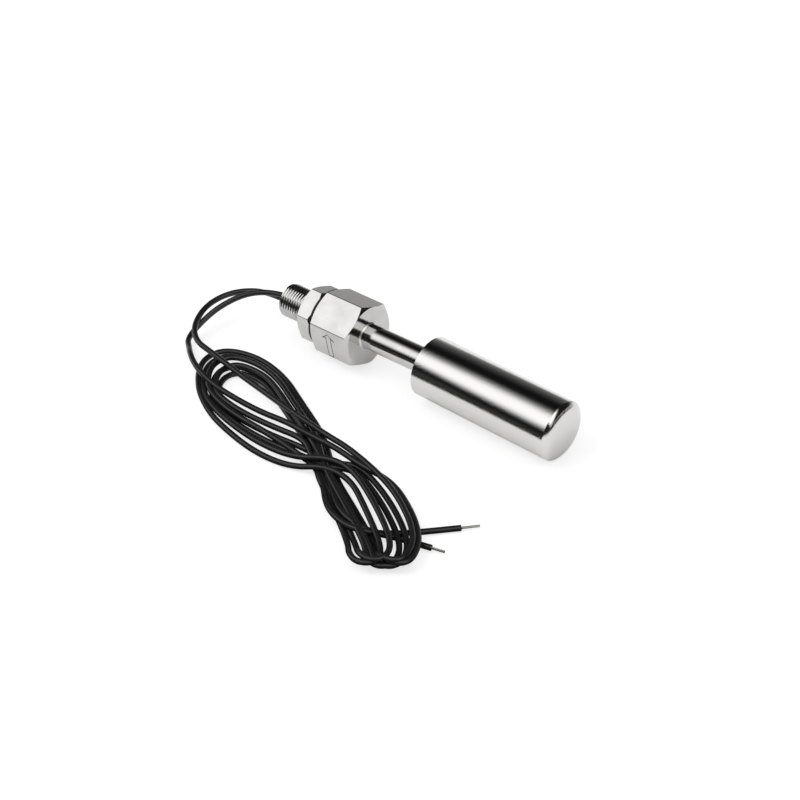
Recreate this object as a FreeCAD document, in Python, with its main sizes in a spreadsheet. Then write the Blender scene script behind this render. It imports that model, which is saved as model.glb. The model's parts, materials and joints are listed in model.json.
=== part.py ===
# Side-mounted float level switch, lying on a flat surface with its two leads in a hank.
#
# Every rigid piece is drawn in the switch's own frame: X runs along the axis from the
# threaded nipple to the float, X = 0 is the turned face of the hexagon, and Z points up
# as the switch is installed. The whole switch is then laid down on the Z = 0 surface.
import FreeCAD, Part
import math
import os

import Sketcher

os.makedirs("parts", exist_ok=True)

doc = FreeCAD.newDocument("FloatLevelSwitch")

# ---------------------------------------------------------------- driving dimensions

DIMENSIONS = [
    ("thread_diameter", "16", "nipple thread, major diameter"),
    ("thread_pitch", "1.5", "nipple thread, pitch"),
    ("thread_depth", "0.92", "nipple thread, depth from crest to root"),
    ("thread_exposed", "16", "nipple length beyond the lock nut"),
    ("nipple_bore", "10", "bore of the nipple for the leads"),
    ("hexagon_flats", "28", "hexagon of the body, across flats"),
    ("hexagon_length", "23", "hexagon of the body, length"),
    ("chamfer_angle", "30", "chamfer of both hexagons, degrees"),
    ("gasket_diameter", "27", "sealing gasket, outer diameter"),
    ("gasket_thickness", "2", "sealing gasket, thickness"),
    ("gasket_corner", "0.4", "sealing gasket, edge radius"),
    ("nut_flats", "24", "lock nut, across flats"),
    ("nut_thickness", "8", "lock nut, thickness"),
    ("thread_clearance", "0.05", "radial clearance of nut and gasket on the nipple"),
    ("cut_margin", "1", "how far the profile of a chamfer reaches outside the metal"),
    ("stem_diameter", "12", "stem tube, outer diameter"),
    ("stem_wall", "1", "stem tube, wall"),
    ("stem_seat_depth", "8", "depth of the stem tube in the hexagon"),
    ("stem_visible", "36.5", "stem tube between hexagon and float"),
    ("stem_past_pin", "12", "stem tube beyond the hinge pin"),
    ("stem_seat_clearance", "0.02", "radial clearance of the stem tube in its seat"),
    ("weld_leg", "0.6", "leg of the weld ring round the stem"),
    ("cap_thickness", "1.5", "stem end cap, thickness"),
    ("cap_spigot", "3", "stem end cap, spigot length"),
    ("cap_edge", "0.8", "stem end cap, edge chamfer"),
    ("plug_clearance", "0.05", "radial clearance of plugs and sleeves in their bores"),
    ("pin_diameter", "3", "hinge pin, diameter"),
    ("pin_drop", "1.6", "hinge pin below the stem's axis"),
    ("pin_inset", "8", "hinge pin inside the float's rear edge"),
    ("pin_end_gap", "0.3", "gap from the pin's ends to the pocket wall"),
    ("pin_running_gap", "0.05", "radial clearance of the pin in the float's bearings"),
    ("pin_press_gap", "0.01", "radial clearance of the pin in the stem tube"),
    ("droop_limit", "7.5", "float angle below the stem's axis at the lower stop, degrees"),
    ("rise_limit", "10", "float angle above the stem's axis at the upper stop, degrees"),
    ("stop_gap", "0.3", "gap left at each stop"),
    ("float_diameter", "28", "float, outer diameter"),
    ("float_length", "73", "float shell, length"),
    ("float_wall", "0.4", "float shell, wall"),
    ("plate_thickness", "0.6", "float back plate, thickness"),
    ("dome_height", "3", "float front cap, height of its dome"),
    ("dome_crown", "60", "float front cap, radius of its crown"),
    ("dome_shoulder", "7", "float front cap, radius of its shoulder"),
    ("dome_wall", "0.5", "float front cap, wall"),
    ("dome_skirt", "4", "float front cap, skirt inside the shell"),
    ("bearing_side_gap", "0.5", "gap between the stem tube and each bearing block"),
    ("bearing_height", "7", "bearing block, height"),
    ("bearing_length", "8", "bearing block, length along the float"),
    ("magnet_length", "10", "bar magnet, length"),
    ("magnet_width", "5", "bar magnet, width"),
    ("magnet_thickness", "2", "bar magnet, thickness"),
    ("magnet_offset", "4", "bar magnet, centre in front of the hinge pin"),
    ("magnet_clearance", "0.1", "clearance of the magnet in its holder"),
    ("holder_wall", "1", "magnet holder, wall"),
    ("holder_floor", "0.6", "magnet holder, floor under the magnet"),
    ("reed_diameter", "2.2", "reed switch glass, diameter"),
    ("reed_length", "12", "reed switch glass, length"),
    ("reed_wall", "0.3", "reed switch glass, wall"),
    ("reed_recess", "0.55", "reed switch glass above the carrier's flat"),
    ("reed_setback", "1.5", "reed switch centre behind the hinge pin"),
    ("reed_overlap", "1.5", "overlap of the two reed blades"),
    ("reed_gap", "0.12", "gap between the two reed blades"),
    ("blade_wire", "0.5", "reed blade, diameter of its round end"),
    ("blade_width", "1", "reed blade, width of its flat end"),
    ("blade_thickness", "0.2", "reed blade, thickness of its flat end"),
    ("blade_tail", "2.4", "reed blade outside the glass"),
    ("carrier_pin_gap", "0.4", "gap between the hinge pin and the carrier's flat"),
    ("carrier_start", "10", "reed carrier, end nearer the hexagon"),
    ("carrier_groove", "0.2", "clearance of glass and wire in the carrier's grooves"),
    ("inner_wire_diameter", "1", "insulated wire inside the stem"),
    ("inner_wire_side", "3", "return wire beside the reed switch"),
    ("inner_wire_slack", "0.5", "how far the wires inside the stem stray"),
    ("inner_wire_return", "1.2", "how far the return wire runs past the reed's tail"),
    ("splice_wall", "0.25", "sleeve of a splice, over the lead's insulation"),
    ("splice_length", "10", "crimped splice with its sleeve, length"),
    ("splice_gap", "0.1", "gap between the two splices"),
    ("potting_length", "8", "resin plug at the end of the nipple"),
    ("lead_diameter", "2.7", "lead wire over its insulation"),
    ("lead_straight", "5", "straight stretch of a lead outside the nipple"),
    ("conductor_diameter", "1.15", "stripped and tinned end of a lead"),
    ("conductor_a_length", "8", "stripped end of the first lead"),
    ("conductor_b_length", "6", "stripped end of the second lead"),
    ("hank_height", "9", "height of the hank of lead wire"),
    ("hank_edge", "3", "rounding of the hank's upper edge"),
    ("stem_lean", "1.15", "slope of the switch as it lies, float end up, degrees"),
    ("switch_roll", "11", "roll of the switch as it lies, arrow side down, degrees"),
]

sheet = doc.addObject("Spreadsheet::Sheet", "Sizes")
for row, (alias, number, meaning) in enumerate(DIMENSIONS, start=1):
    sheet.set(f"A{row}", meaning)
    sheet.set(f"B{row}", number)
    sheet.setAlias(f"B{row}", alias)
doc.recompute()


class Length:
    """A length that keeps both its formula for the document and its present value."""

    def __init__(self, formula, value):
        self.formula = formula
        self.value = value

    def _joined(self, sign, other, value):
        return Length(f"({self.formula} {sign} {as_length(other).formula})", value)

    def __add__(self, other):
        return self._joined("+", other, self.value + as_length(other).value)

    def __sub__(self, other):
        return self._joined("-", other, self.value - as_length(other).value)

    def __mul__(self, other):
        return self._joined("*", other, self.value * as_length(other).value)

    def __truediv__(self, other):
        return self._joined("/", other, self.value / as_length(other).value)

    def __neg__(self):
        return Length(f"(0 - {self.formula})", -self.value)

    def sin(self):
        return Length(f"sin({self.formula})", math.sin(math.radians(self.value)))

    def cos(self):
        return Length(f"cos({self.formula})", math.cos(math.radians(self.value)))

    def tan(self):
        return Length(f"tan({self.formula})", math.tan(math.radians(self.value)))

    def sqrt(self):
        return Length(f"sqrt({self.formula})", math.sqrt(self.value))


def as_length(number):
    return number if isinstance(number, Length) else Length(repr(number), number)


def size(alias):
    return Length(f"Sizes.{alias}", float(sheet.get(alias)))


ZERO = as_length(0)

# Radii and stations along the switch that more than one piece uses.
thread_radius = size("thread_diameter") / 2
# Under the nut the threads mesh, so both are drawn at the pitch diameter there.
meshed_radius = thread_radius - size("thread_depth") / 2
bore_radius = size("nipple_bore") / 2
stem_radius = size("stem_diameter") / 2
stem_bore_radius = stem_radius - size("stem_wall")
pin_radius = size("pin_diameter") / 2
float_radius = size("float_diameter") / 2
# Half of the angle that one flat of a hexagon spans, in degrees.
half_flat_angle = as_length(360 / 6 / 2)
hexagon_corner = size("hexagon_flats") / 2 / half_flat_angle.cos()
nut_corner = size("nut_flats") / 2 / half_flat_angle.cos()

hexagon_back = -size("hexagon_length")
gasket_back = hexagon_back - size("gasket_thickness")
nut_back = gasket_back - size("nut_thickness")
nipple_end = nut_back - size("thread_exposed")
float_rear = size("stem_visible")
pin_station = float_rear + size("pin_inset")
stem_end = pin_station + size("stem_past_pin")
cap_end = stem_end + size("cap_thickness")

# The stem's top edge reaches furthest from the pin at each stop: its end cap touches the
# pocket when the float droops, and the tube touches the back plate when it rises.
stem_top = size("pin_drop") + stem_radius
pocket_radius = (stem_top * size("droop_limit").cos()
                 + (size("stem_past_pin") + size("cap_thickness")) * size("droop_limit").sin()
                 + size("stop_gap"))
opening_radius = (stem_top * size("rise_limit").cos()
                  + size("pin_inset") * size("rise_limit").sin()
                  + size("stop_gap"))
pocket_wall = size("float_wall")
pocket_bottom = (size("pin_inset") + size("stem_past_pin") + size("cap_thickness")
                 + stem_top * size("droop_limit").sin() + size("stop_gap"))
shell_bore = float_radius - size("float_wall")

# The reed switch lies over the hinge pin, in a carrier whose flat clears the pin.
carrier_flat = pin_radius + size("carrier_pin_gap") - size("pin_drop")
reed_radius = size("reed_diameter") / 2
reed_height = carrier_flat + size("reed_recess") + reed_radius
reed_centre = pin_station - size("reed_setback")
reed_near = reed_centre - size("reed_length") / 2
reed_far = reed_centre + size("reed_length") / 2
blade_radius = size("blade_wire") / 2
# The cavity of the glass has its full bore between these two stations.
cavity_near = reed_near + reed_radius * 2 - size("reed_wall") - blade_radius
cavity_far = reed_near + reed_far - cavity_near
tail_near = reed_near - size("blade_tail")
tail_far = reed_far + size("blade_tail")

# Each lead ends in a splice behind the resin plug.
splice_back = nipple_end + size("potting_length")
splice_front = splice_back + size("splice_length")
lead_radius = size("lead_diameter") / 2
splice_radius = lead_radius + size("splice_wall")
lead_offset = splice_radius + size("splice_gap") / 2
inner_wire_radius = size("inner_wire_diameter") / 2

# ---------------------------------------------------------------- drawing helpers


def plane_of(body, role):
    """The origin plane of a body that has this role."""
    return next(part for part in body.Origin.OriginFeatures if part.Role == role)


def new_body(label):
    body = doc.addObject("PartDesign::Body", label)
    body.Label = label
    return body


def new_sketch(body, name, role):
    sketch = body.newObject("Sketcher::SketchObject", f"{body.Name}_{name}")
    sketch.AttachmentSupport = [(plane_of(body, role), "")]
    sketch.MapMode = "FlatFace"
    return sketch


def bind(feature, field, length):
    feature.setExpression(field, length.formula)


def arc_between(start, end, radius, bulge):
    """The short arc from start to end; bulge is 1 if it turns left, -1 if right."""
    chord = end - start
    half = chord.Length / 2
    depth = math.sqrt(max(radius * radius - half * half, 0.0))
    left = FreeCAD.Vector(-chord.y, chord.x, 0).normalize()
    centre = (start + end) / 2 + left * (depth * bulge)
    middle = centre + ((start + end) / 2 - centre).normalize() * radius
    return Part.Arc(start, middle, end)


def pin_down(sketch, edge, end, along, across):
    """Fix one end of an edge at its two coordinates."""
    for kind, axis_edge, place in (("DistanceX", -2, along), ("DistanceY", -1, across)):
        if abs(place.value) < 1e-9:
            sketch.addConstraint(Sketcher.Constraint("PointOnObject", edge, end, axis_edge))
            continue
        mark = sketch.addConstraint(
            Sketcher.Constraint(kind, -1, 1, edge, end, place.value))
        bind(sketch, f"Constraints[{mark}]", place)


def draw_outline(sketch, corners):
    """A closed outline; a corner (x, y, radius, bulge) starts an arc, (x, y) a line."""
    points = [FreeCAD.Vector(x.value, y.value, 0) for x, y, *_ in corners]
    arcs = {side: arc for side, (_, _, *arc) in enumerate(corners) if arc}
    first = sketch.GeometryCount
    count = len(corners)
    for side in range(count):
        start, end = points[side], points[(side + 1) % count]
        if side in arcs:
            radius, bulge = arcs[side]
            sketch.addGeometry(arc_between(start, end, radius.value, bulge), False)
        else:
            sketch.addGeometry(Part.LineSegment(start, end), False)
    ends = []
    for side in range(count):
        right_turning = side in arcs and arcs[side][1] < 0
        ends.append((2, 1) if right_turning else (1, 2))
    for side in range(count):
        following = (side + 1) % count
        sketch.addConstraint(Sketcher.Constraint(
            "Coincident", first + side, ends[side][1], first + following, ends[following][0]))
    for side, (along, across, *_) in enumerate(corners):
        pin_down(sketch, first + side, ends[side][0], along, across)
    for side, (radius, _) in arcs.items():
        mark = sketch.addConstraint(
            Sketcher.Constraint("Radius", first + side, radius.value))
        bind(sketch, f"Constraints[{mark}]", radius)


def turned(body, name, corners, cut=False, raised=ZERO):
    """Turn a profile of (station along X, radius) points about X, or a line above it."""
    sketch = new_sketch(body, f"{name}_profile", "XY_Plane")
    draw_outline(sketch, corners)
    bind(sketch, "AttachmentOffset.Base.z", raised)
    kind = "PartDesign::Groove" if cut else "PartDesign::Revolution"
    feature = body.newObject(kind, f"{body.Name}_{name}")
    feature.Profile = sketch
    feature.ReferenceAxis = (sketch, ["H_Axis"])
    feature.Angle = 360


def padded(body, name, corners, start, length):
    """Extrude an outline of (Y, Z) points along X from a station."""
    sketch = new_sketch(body, f"{name}_section", "YZ_Plane")
    draw_outline(sketch, corners)
    bind(sketch, "AttachmentOffset.Base.z", start)
    feature = body.newObject("PartDesign::Pad", f"{body.Name}_{name}")
    feature.Profile = sketch
    bind(feature, "Length", length)


def circle_sketch(body, name, role, along, across, radius):
    """A circle on an origin plane, with its centre and radius bound."""
    sketch = new_sketch(body, name, role)
    centre = FreeCAD.Vector(along.value, across.value, 0)
    circle = sketch.addGeometry(
        Part.Circle(centre, FreeCAD.Vector(0, 0, 1), radius.value), False)
    pin_down(sketch, circle, 3, along, across)
    mark = sketch.addConstraint(Sketcher.Constraint("Radius", circle, radius.value))
    bind(sketch, f"Constraints[{mark}]", radius)
    return sketch


def bored(body, name, role, along, across, radius):
    """Drill a round hole right through, square to an origin plane."""
    feature = body.newObject("PartDesign::Pocket", f"{body.Name}_{name}")
    feature.Profile = circle_sketch(body, f"{name}_circle", role, along, across, radius)
    feature.Type = 1
    feature.Midplane = True


def ring(near, far, inner, outer):
    """The four corners of a plain ring's profile."""
    return [(near, inner), (far, inner), (far, outer), (near, outer)]


def hexagon(corner_radius):
    """Six corners with two of the flats upright, facing -Y and +Y."""
    half_flat = corner_radius * half_flat_angle.cos()
    half_side = corner_radius / 2
    return [(ZERO, corner_radius), (-half_flat, half_side), (-half_flat, -half_side),
            (ZERO, -corner_radius), (half_flat, -half_side), (half_flat, half_side)]


def corner_chamfer(face, outward, flats, corner_radius):
    """Profile of the metal turned off the corners at one face of a hexagon."""
    rim = corner_radius + size("cut_margin")
    reach = (rim - flats / 2) * size("chamfer_angle").tan() * outward
    return [(face, flats / 2), (face, rim), (face - reach, rim)]


# ---------------------------------------------------------------- fixed group


def make_hex_body():
    """One turned piece: chamfered hexagon, threaded nipple, bore and stem seat."""
    body = new_body("hex_body")
    padded(body, "hexagon", hexagon(hexagon_corner), hexagon_back, size("hexagon_length"))
    for name, face, outward in (("front_chamfer", ZERO, 1), ("back_chamfer", hexagon_back, -1)):
        turned(body, name, corner_chamfer(face, outward, size("hexagon_flats"), hexagon_corner),
               cut=True)
    relief = size("thread_pitch") / 2
    turned(body, "nipple", [
        (hexagon_back, ZERO), (hexagon_back, meshed_radius), (nut_back, meshed_radius),
        (nut_back, thread_radius), (nipple_end + relief, thread_radius),
        (nipple_end, thread_radius - relief), (nipple_end, ZERO)])
    seat = stem_radius + size("stem_seat_clearance")
    turned(body, "bore", [
        (nipple_end, ZERO), (nipple_end, bore_radius), (-size("stem_seat_depth"), bore_radius),
        (-size("stem_seat_depth"), seat), (ZERO, seat), (ZERO, ZERO)], cut=True)
    return body


def make_gasket():
    """Flat sealing gasket, clamped between the hexagon and the lock nut."""
    body = new_body("sealing_gasket")
    edge = size("gasket_corner")
    rim = size("gasket_diameter") / 2
    bore = thread_radius + size("thread_clearance")
    turned(body, "ring", [
        (gasket_back, bore), (hexagon_back, bore), (hexagon_back, rim - edge, edge, 1),
        (hexagon_back - edge, rim), (gasket_back + edge, rim, edge, 1),
        (gasket_back, rim - edge)])
    return body


def make_lock_nut():
    """Thin hexagon nut, chamfered on both sides, with a countersunk bore."""
    body = new_body("lock_nut")
    padded(body, "hexagon", hexagon(nut_corner), nut_back, size("nut_thickness"))
    for name, face, outward in (("front_chamfer", gasket_back, 1), ("back_chamfer", nut_back, -1)):
        turned(body, name, corner_chamfer(face, outward, size("nut_flats"), nut_corner), cut=True)
    bore = meshed_radius + size("thread_clearance")
    sink = size("thread_depth")
    turned(body, "bore", [
        (nut_back, ZERO), (nut_back, bore + sink), (nut_back + sink, bore),
        (gasket_back - sink, bore), (gasket_back, bore + sink), (gasket_back, ZERO)], cut=True)
    return body


def make_stem_tube():
    """Thin tube welded into the hexagon, cross-drilled for the hinge pin."""
    body = new_body("stem_tube")
    turned(body, "tube", ring(-size("stem_seat_depth"), stem_end, stem_bore_radius, stem_radius))
    bored(body, "pin_hole", "XZ_Plane", pin_station, -size("pin_drop"),
          pin_radius + size("pin_press_gap"))
    return body


def make_stem_weld():
    """Bead that joins the stem to the hexagon's face."""
    body = new_body("stem_weld")
    leg = size("weld_leg")
    turned(body, "bead", [(ZERO, stem_radius), (leg, stem_radius, leg, -1),
                          (ZERO, stem_radius + leg)])
    return body


def make_stem_end_cap():
    """Turned cap that closes the stem inside the float."""
    body = new_body("stem_end_cap")
    spigot = stem_bore_radius - size("plug_clearance")
    edge = size("cap_edge")
    turned(body, "cap", [
        (stem_end - size("cap_spigot"), ZERO), (stem_end - size("cap_spigot"), spigot),
        (stem_end, spigot), (stem_end, stem_radius), (cap_end - edge, stem_radius),
        (cap_end, stem_radius - edge), (cap_end, ZERO)])
    return body


def make_hinge_pin():
    """Pin pressed across the stem; its ends carry the float's bearing blocks."""
    body = new_body("hinge_pin")
    half = (pocket_radius * pocket_radius - pin_radius * pin_radius).sqrt() - size("pin_end_gap")
    pad = body.newObject("PartDesign::Pad", "hinge_pin_rod")
    pad.Profile = circle_sketch(
        body, "circle", "XZ_Plane", pin_station, -size("pin_drop"), pin_radius)
    pad.Midplane = True
    bind(pad, "Length", half * 2)
    return body


def make_reed_glass():
    """Sealed glass envelope of the reed switch, with a hole for each blade."""
    body = new_body("reed_glass")
    wall = size("reed_wall")
    inner = reed_radius - wall
    seal = reed_radius
    turned(body, "envelope", [
        (reed_near, blade_radius), (reed_near, wall + blade_radius),
        (reed_near + inner, reed_radius), (reed_far - inner, reed_radius),
        (reed_far, wall + blade_radius), (reed_far, blade_radius),
        (reed_far - seal, blade_radius), (cavity_far, inner), (cavity_near, inner),
        (reed_near + seal, blade_radius)],
        raised=reed_height)
    return body


def make_reed_blade(label, tail, seal, tip, level):
    """Round wire sealed in the glass, flattened inside into a springy blade."""
    body = new_body(label)
    turned(body, "wire", [(tail, ZERO), (seal, ZERO), (seal, blade_radius), (tail, blade_radius)],
           raised=reed_height)
    start, end = (seal, tip) if seal.value < tip.value else (tip, seal)
    half_width = size("blade_width") / 2
    low = reed_height + level
    high = low + size("blade_thickness")
    padded(body, "flat", [(-half_width, low), (half_width, low), (half_width, high),
                          (-half_width, high)], start, end - start)
    return body


def make_reed_carrier():
    """Moulded half-round stick with one groove for the reed and one for the return wire."""
    body = new_body("reed_carrier")
    rim = stem_bore_radius - size("plug_clearance")
    slack = size("carrier_groove")
    half_width = (rim * rim - carrier_flat * carrier_flat).sqrt()
    reed_side = reed_radius + slack
    reed_top = reed_height + reed_radius + slack
    wire_near = size("inner_wire_side") - inner_wire_radius - slack / 2
    wire_far = size("inner_wire_side") + inner_wire_radius + slack / 2
    wire_top = reed_height + inner_wire_radius + slack
    end = reed_far + size("blade_tail") / 2
    padded(body, "stick", [
        (-half_width, carrier_flat), (-reed_side, carrier_flat), (-reed_side, reed_top),
        (reed_side, reed_top), (reed_side, carrier_flat), (wire_near, carrier_flat),
        (wire_near, wire_top), (wire_far, wire_top), (wire_far, carrier_flat),
        (half_width, carrier_flat, rim, 1)],
        size("carrier_start"), end - size("carrier_start"))
    return body


def make_splice(label, height):
    """Crimped sleeve that joins a lead to the finer wire inside the stem."""
    body = new_body(label)
    turned(body, "sleeve", [(splice_back, ZERO), (splice_front, ZERO),
                            (splice_front, splice_radius), (splice_back, splice_radius)],
           raised=height)
    return body


def make_potting():
    """Resin plug that seals the nipple round the two leads."""
    body = new_body("potting_plug")
    rim = bore_radius - size("plug_clearance")
    turned(body, "plug", [(nipple_end, ZERO), (splice_back, ZERO), (splice_back, rim),
                          (nipple_end, rim)])
    for name, height in (("upper_hole", lead_offset), ("lower_hole", -lead_offset)):
        bored(body, name, "YZ_Plane", ZERO, height, lead_radius + size("plug_clearance"))
    return body


# ---------------------------------------------------------------- float group

# The float is drawn about its own axis, with X = 0 at its rear edge.


def make_float_shell():
    """Thin drawn tube, the float's cylinder."""
    body = new_body("float_shell")
    turned(body, "tube", ring(ZERO, size("float_length"), shell_bore, float_radius))
    return body


def make_float_front_cap():
    """Pressed cap: a shallow crown, a round shoulder and a skirt inside the shell."""
    body = new_body("float_front_cap")
    rim = size("float_length")
    wall = size("dome_wall")
    crown = size("dome_crown")
    shoulder = size("dome_shoulder")
    # The shoulder's centre lies where an arc through the rim is tangent to the crown.
    crown_centre = rim + size("dome_height") - crown
    depth = crown - size("dome_height")
    rim_distance = (depth * depth + float_radius * float_radius).sqrt()
    link = crown - shoulder
    foot = ((rim_distance * rim_distance + link * link - shoulder * shoulder)
            / rim_distance / 2)
    offset = (link * link - foot * foot).sqrt()
    link_along = (depth * foot + float_radius * offset) / rim_distance
    link_across = (float_radius * foot - depth * offset) / rim_distance

    def tangent_point(radius):
        return (crown_centre + link_along * radius / link, link_across * radius / link)

    seat = shell_bore - size("plug_clearance")
    inside = seat - wall
    inner_shoulder_radius = shoulder - wall
    rise = inside - link_across
    inner_rim = (crown_centre + link_along
                 + (inner_shoulder_radius * inner_shoulder_radius - rise * rise).sqrt(), inside)
    turned(body, "cap", [
        (rim, float_radius, shoulder, -1), (*tangent_point(crown), crown, -1),
        (rim + size("dome_height"), ZERO),
        (rim + size("dome_height") - wall, ZERO, crown - wall, 1),
        (*tangent_point(crown - wall), inner_shoulder_radius, 1), inner_rim,
        (rim - size("dome_skirt"), inside), (rim - size("dome_skirt"), seat), (rim, seat)])
    return body


def make_float_back_plate():
    """Disc that closes the shell's rear, with the opening that the stem enters."""
    body = new_body("float_back_plate")
    turned(body, "disc", ring(ZERO, size("plate_thickness"), opening_radius,
                              shell_bore - size("plug_clearance")))
    return body


def make_float_pocket():
    """Blind sleeve behind the back plate that keeps the float sealed round the stem."""
    body = new_body("float_pocket")
    outer = pocket_radius + pocket_wall
    rear = size("plate_thickness")
    turned(body, "cup", [
        (rear, pocket_radius), (rear, outer), (pocket_bottom + pocket_wall, outer),
        (pocket_bottom + pocket_wall, ZERO), (pocket_bottom, ZERO),
        (pocket_bottom, pocket_radius)])
    return body


def make_bearing(label, side):
    """Block welded to the pocket's side wall, drilled for the hinge pin."""
    body = new_body(label)
    inner = (stem_radius + size("bearing_side_gap")) * side
    half = size("bearing_height") / 2
    outer = (pocket_radius * pocket_radius - half * half).sqrt() * side
    padded(body, "block", [(inner, -half), (outer, -half, pocket_radius, side), (outer, half),
                           (inner, half)],
           size("pin_inset") - size("bearing_length") / 2, size("bearing_length"))
    bored(body, "pin_bore", "XZ_Plane", size("pin_inset"), ZERO,
          pin_radius + size("pin_running_gap"))
    return body


pocket_outside = pocket_radius + pocket_wall
magnet_base = pocket_outside + size("holder_floor")
magnet_rear = size("pin_inset") + size("magnet_offset") - size("magnet_length") / 2


def upright_box(half_width, low, high):
    """Section of a box that stands on the float's middle plane."""
    return [(-half_width, low), (half_width, low), (half_width, high), (-half_width, high)]


def make_magnet():
    """Bar magnet that works the reed switch as the float swings."""
    body = new_body("magnet")
    padded(body, "bar", upright_box(size("magnet_width") / 2, magnet_base,
                                    magnet_base + size("magnet_thickness")),
           magnet_rear, size("magnet_length"))
    return body


def make_magnet_holder():
    """Saddle welded on the pocket, with a tray that holds the magnet."""
    body = new_body("magnet_holder")
    slack = size("magnet_clearance")
    inside = size("magnet_width") / 2 + slack
    half_width = inside + size("holder_wall")
    tray_top = magnet_base + size("magnet_thickness") / 2
    foot = (pocket_outside * pocket_outside - half_width * half_width).sqrt()
    padded(body, "saddle", [(-half_width, foot, pocket_outside, -1), (half_width, foot),
                            (half_width, tray_top), (-half_width, tray_top)],
           magnet_rear - slack - size("holder_wall"),
           size("magnet_length") + (slack + size("holder_wall")) * 2)
    sketch = new_sketch(body, "tray_outline", "XY_Plane")
    front = magnet_rear + size("magnet_length") + slack
    draw_outline(sketch, [(magnet_rear - slack, -inside), (front, -inside), (front, inside),
                          (magnet_rear - slack, inside)])
    bind(sketch, "AttachmentOffset.Base.z", magnet_base)
    tray = body.newObject("PartDesign::Pocket", "magnet_holder_tray")
    tray.Profile = sketch
    tray.Reversed = True
    bind(tray, "Length", size("magnet_thickness"))
    return body


# ---------------------------------------------------------------- assembly

switch_pieces = [
    make_hex_body(),
    make_gasket(),
    make_lock_nut(),
    make_stem_tube(),
    make_stem_weld(),
    make_stem_end_cap(),
    make_hinge_pin(),
    make_reed_glass(),
    make_reed_blade("reed_blade_near", tail_near, cavity_near,
                    reed_centre + size("reed_overlap") / 2,
                    -size("reed_gap") / 2 - size("blade_thickness")),
    make_reed_blade("reed_blade_far", tail_far, cavity_far,
                    reed_centre - size("reed_overlap") / 2, size("reed_gap") / 2),
    make_reed_carrier(),
    make_splice("splice_a", lead_offset),
    make_splice("splice_b", -lead_offset),
    make_potting(),
]
float_pieces = [
    make_float_shell(),
    make_float_front_cap(),
    make_float_back_plate(),
    make_float_pocket(),
    make_bearing("float_bearing_left", 1),
    make_bearing("float_bearing_right", -1),
    make_magnet(),
    make_magnet_holder(),
]
doc.recompute()

# The switch lies with a corner of its hexagon and the float's front rim on Z = 0, so
# the float droops from the stem by the angle at which its rim just touches.
lean = math.radians(size("stem_lean").value)
roll = math.radians(size("switch_roll").value)
corner_depth = (hexagon_corner - size("hexagon_flats") / 2) * size("chamfer_angle").tan()
upright = math.cos(roll) * math.cos(lean)
axis_height = (hexagon_corner.value * upright
               - (hexagon_back + corner_depth).value * math.sin(lean))
pin_height = (axis_height + pin_station.value * math.sin(lean)
              - size("pin_drop").value * upright)
rim_reach = size("float_length").value - size("pin_inset").value
float_slope = (math.asin(pin_height / math.hypot(rim_reach, float_radius.value))
               - math.atan2(float_radius.value, rim_reach))
rest_droop = math.degrees(math.asin(math.sin(float_slope) / math.hypot(upright, math.sin(lean)))
                          + math.atan2(math.sin(lean), upright))

turned_down = (FreeCAD.Rotation(FreeCAD.Vector(0, 1, 0), -math.degrees(lean))
               * FreeCAD.Rotation(FreeCAD.Vector(1, 0, 0), math.degrees(roll)))
at_pin = FreeCAD.Placement(FreeCAD.Vector(pin_station.value, 0, -size("pin_drop").value),
                           FreeCAD.Rotation(FreeCAD.Vector(0, 1, 0), rest_droop))
from_pin = FreeCAD.Placement(FreeCAD.Vector(-size("pin_inset").value, 0, 0),
                             FreeCAD.Rotation())


def lay_down(along, across):
    """Put the switch and its float on the surface; return the switch's placement."""
    lying = FreeCAD.Placement(FreeCAD.Vector(along, across, axis_height), turned_down)
    for piece in switch_pieces:
        piece.Placement = lying
    for piece in float_pieces:
        piece.Placement = lying * at_pin * from_pin
    doc.recompute()
    return lying


lay_down(0, 0)
rigid_box = FreeCAD.BoundBox()
for piece in switch_pieces + float_pieces:
    rigid_box.add(piece.Shape.optimalBoundingBox(False, False))
lying = lay_down(-rigid_box.Center.x, -rigid_box.Center.y)

# ---------------------------------------------------------------- wires and leads

# A tangent arc takes this share of the shorter of its two runs.
ARC_SHARE = 0.45


def rounded_route(points, closed=False):
    """Straight runs joined by tangent arcs, and the radii of those arcs."""
    stops = [FreeCAD.Vector(*point) for point in points]
    if closed:
        middle = (stops[0] + stops[1]) / 2
        stops = [middle] + stops[1:] + [stops[0], middle]
    edges = []
    radii = []
    start = stops[0]
    for before, corner, after in zip(stops, stops[1:], stops[2:]):
        arriving = corner - before
        leaving = after - corner
        reach = ARC_SHARE * min(arriving.Length, leaving.Length)
        half_turn = arriving.getAngle(leaving) / 2
        radius = reach / math.tan(half_turn)
        arriving.normalize()
        leaving.normalize()
        inward = (leaving - arriving).normalize()
        middle = corner + inward * (radius / math.cos(half_turn) - radius)
        edges.append(Part.LineSegment(start, corner - arriving * reach).toShape())
        start = corner + leaving * reach
        edges.append(Part.Arc(corner - arriving * reach, middle, start).toShape())
        radii.append(radius)
    edges.append(Part.LineSegment(start, stops[-1]).toShape())
    return Part.Wire(edges), radii


def wire_tube(label, points, radius):
    """Solid of one wire along its route, with its volume checked."""
    route, radii = rounded_route(points)
    start = FreeCAD.Vector(*points[0])
    section = Part.Circle(start, FreeCAD.Vector(*points[1]) - start, radius.value)
    tube = route.makePipeShell([Part.Wire(section.toShape())], True, False)
    expected = math.pi * radius.value ** 2 * route.Length
    if not math.isclose(tube.Volume, expected, rel_tol=0.01):
        raise RuntimeError(f"{label}: volume {tube.Volume:.1f} mm3, expected {expected:.1f}")
    print(f"{label}: {route.Length:.1f} mm, radii", [round(r, 1) for r in radii])
    return tube


def add_shape(label, shape):
    feature = doc.addObject("Part::Feature", label)
    feature.Label = label
    feature.Shape = shape
    return feature


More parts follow.
